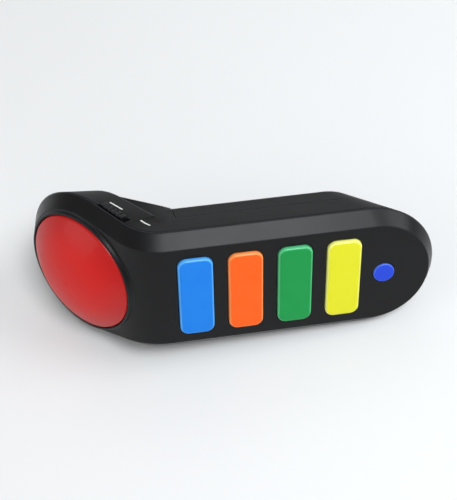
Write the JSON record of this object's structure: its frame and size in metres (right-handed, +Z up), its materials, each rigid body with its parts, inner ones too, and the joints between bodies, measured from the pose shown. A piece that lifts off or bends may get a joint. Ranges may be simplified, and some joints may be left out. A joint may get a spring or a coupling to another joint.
{
  "type": "wireless quiz buzzer",
  "caption": "Handheld wireless quiz buzzer: bent black case with a big red press dome on its head, coloured bar buttons on the handle and a battery door in the back.",
  "frame": {"origin": "centre of the bounding box at its underside, on the table the buzzer lies on", "axes": "+Z up, +X along the handle from the head to the tail, the front face looks to -Y and up"},
  "size_m": [0.1418, 0.0572, 0.0562],
  "materials": {
    "front_plastic": "fine satin moulded black",
    "rear_plastic": "fine satin moulded black",
    "door_plastic": "fine satin moulded black",
    "knob_plastic": "ribbed satin black",
    "dome_red": "translucent red, half gloss",
    "button_blue": "half gloss",
    "button_orange": "half gloss",
    "button_green": "half gloss",
    "button_yellow": "half gloss",
    "pairing_blue": "half gloss",
    "switch_plastic": "moulded",
    "switch_steel": "pressed can",
    "board": "green lacquer",
    "lamp": "clear lens",
    "chip": "moulded",
    "radio_can": "tinned can",
    "socket": "moulded",
    "ribbon": "flat cable",
    "cell_jacket": "plain printed jacket",
    "contact_steel": "nickel plated",
    "spring_steel": "nickel plated wire",
    "screw_steel": "zinc plated",
    "key_rubber": "silicone"
  },
  "bodies": {
    "case": {"front_shell": "front_plastic", "rear_shell": "rear_plastic", "switch_body": "switch_steel", "dome_switch": "switch_plastic", "head_board": "board", "main_board": "board", "head_leds": "lamp", "controller_chip": "chip", "radio_module": "radio_can", "head_socket": "socket", "main_socket": "socket", "head_cable": "ribbon", "upper_cell": "cell_jacket", "lower_cell": "cell_jacket", "upper_contact": "contact_steel", "lower_contact": "contact_steel", "bridge_contact": "contact_steel", "tail_spring": "spring_steel", "neck_spring": "spring_steel", "dome_spring": "spring_steel", "case_screws": "screw_steel", "board_screws": "screw_steel", "head_screws": "screw_steel", "blue_key_dome": "key_rubber", "orange_key_dome": "key_rubber", "green_key_dome": "key_rubber", "yellow_key_dome": "key_rubber", "pairing_key_dome": "key_rubber"},
    "dome": {"buzzer_dome": "dome_red"},
    "blue_key": {"blue_button": "button_blue"},
    "orange_key": {"orange_button": "button_orange"},
    "green_key": {"green_button": "button_green"},
    "yellow_key": {"yellow_button": "button_yellow"},
    "pairing_key": {"pairing_button": "pairing_blue"},
    "knob": {"switch_knob": "knob_plastic"},
    "door": {"battery_door": "door_plastic"}
  },
  "joints": [
    {"name": "dome_press", "type": "slide", "parent": "case", "child": "dome", "axis": [0.7302, 0.6099, -0.3079], "range_m": [0, 0.003], "stiffness_N_per_m": 1200, "springref_m": -0.0008, "deforming": ["dome_spring"]},
    {"name": "blue_press", "type": "slide", "parent": "case", "child": "blue_key", "axis": [-0.0389, 0.9392, -0.3411], "range_m": [0, 0.0015], "stiffness_N_per_m": 900, "springref_m": -0.0005, "deforming": ["blue_key_dome"]},
    {"name": "orange_press", "type": "slide", "parent": "case", "child": "orange_key", "axis": [-0.0389, 0.9392, -0.3411], "range_m": [0, 0.0015], "stiffness_N_per_m": 900, "springref_m": -0.0005, "deforming": ["orange_key_dome"]},
    {"name": "green_press", "type": "slide", "parent": "case", "child": "green_key", "axis": [-0.0389, 0.9392, -0.3411], "range_m": [0, 0.0015], "stiffness_N_per_m": 900, "springref_m": -0.0005, "deforming": ["green_key_dome"]},
    {"name": "yellow_press", "type": "slide", "parent": "case", "child": "yellow_key", "axis": [-0.0389, 0.9392, -0.3411], "range_m": [0, 0.0015], "stiffness_N_per_m": 900, "springref_m": -0.0005, "deforming": ["yellow_key_dome"]},
    {"name": "pairing_press", "type": "slide", "parent": "case", "child": "pairing_key", "axis": [-0.0389, 0.9392, -0.3411], "range_m": [0, 0.0008], "stiffness_N_per_m": 900, "springref_m": -0.0005, "deforming": ["pairing_key_dome"]},
    {"name": "switch_slide", "type": "slide", "parent": "case", "child": "knob", "axis": [0.6495, -0.7595, 0.0357], "range_m": [-0.0014, 0.0014]},
    {"name": "door_lift", "type": "slide", "parent": "case", "child": "door", "axis": [-0.0389, 0.9392, -0.3411], "range_m": [0, 0.03]}
  ]
}
